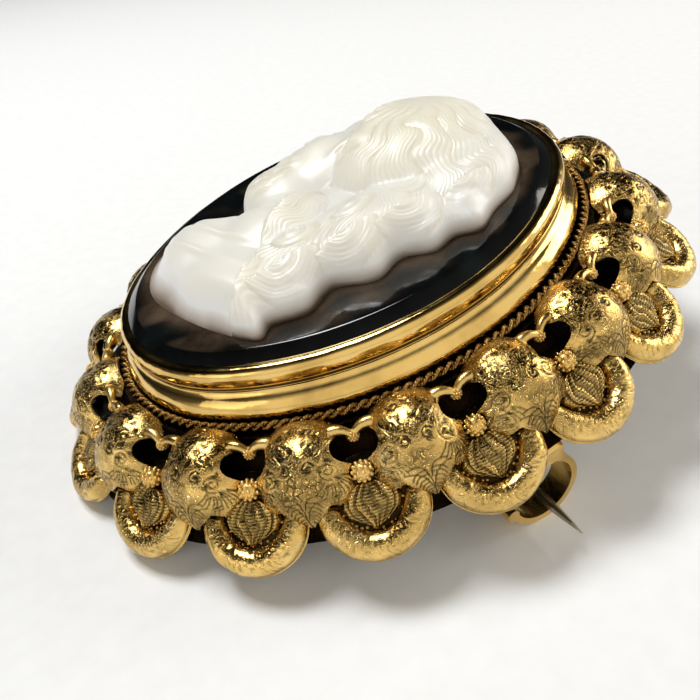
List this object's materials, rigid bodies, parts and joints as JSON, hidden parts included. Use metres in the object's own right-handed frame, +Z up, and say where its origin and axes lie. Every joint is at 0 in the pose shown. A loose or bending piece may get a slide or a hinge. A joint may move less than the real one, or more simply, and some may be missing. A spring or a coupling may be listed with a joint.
{
  "type": "cameo brooch",
  "caption": "Oval hardstone cameo brooch: white bust on dark agate in a gold collet with a roped edge, leaf domes, scrolls, pin and C catch.",
  "frame": {"origin": "on the surface that the brooch lies on, under the middle of its bounding box", "axes": "+X along the oval's long axis, towards the crown of the bust; +Y across it, towards the face and the pin's hinge; +Z up from the surface. The brooch's own back is tilted 11.4 degrees about Y, because it lies on its catch, its hinge and the end scroll under the bust."},
  "size_m": [0.0644, 0.0592, 0.0263],
  "materials": {
    "dark_agate": "polished",
    "white_agate": "satin",
    "polished_gold": "polished",
    "twisted_gold": "twisted wire, dark in the hollows",
    "matt_gold": "matt and darkened",
    "engraved_gold": "engraved and worn bright",
    "scroll_gold": "engraved and worn bright",
    "plain_gold": "plain polish",
    "pin_steel": "drawn wire, ground point"
  },
  "bodies": {
    "brooch": {"stone_ground": "dark_agate", "cameo_bust": "white_agate", "collet": "polished_gold", "rope_edge": "twisted_gold", "border_plate": "matt_gold", "leaf_dome_01": "engraved_gold", "leaf_dome_02": "engraved_gold", "leaf_dome_03": "engraved_gold", "leaf_dome_04": "engraved_gold", "leaf_dome_05": "engraved_gold", "leaf_dome_06": "engraved_gold", "leaf_dome_07": "engraved_gold", "leaf_dome_08": "engraved_gold", "leaf_dome_09": "engraved_gold", "leaf_dome_10": "engraved_gold", "leaf_dome_11": "engraved_gold", "leaf_dome_12": "engraved_gold", "leaf_dome_13": "engraved_gold", "leaf_dome_14": "engraved_gold", "leaf_dome_15": "engraved_gold", "leaf_dome_16": "engraved_gold", "leaf_dome_17": "engraved_gold", "leaf_dome_18": "engraved_gold", "scroll_01": "scroll_gold", "scroll_02": "scroll_gold", "scroll_03": "scroll_gold", "scroll_04": "scroll_gold", "scroll_05": "scroll_gold", "scroll_06": "scroll_gold", "scroll_07": "scroll_gold", "scroll_08": "scroll_gold", "scroll_09": "scroll_gold", "scroll_10": "scroll_gold", "scroll_11": "scroll_gold", "scroll_12": "scroll_gold", "scroll_13": "scroll_gold", "scroll_14": "scroll_gold", "scroll_15": "scroll_gold", "scroll_16": "scroll_gold", "scroll_17": "scroll_gold", "scroll_18": "scroll_gold", "catch": "plain_gold", "hinge_ears": "plain_gold", "hinge_rivet": "plain_gold"},
    "pin": {"pin": "pin_steel"}
  },
  "joints": [
    {"name": "pin_swing", "type": "hinge", "parent": "brooch", "child": "pin", "pos_m": [0.00069, 0.0264, 0.00193], "axis": [0.9801, 0, 0.1985], "range_deg": [0, 80]}
  ]
}
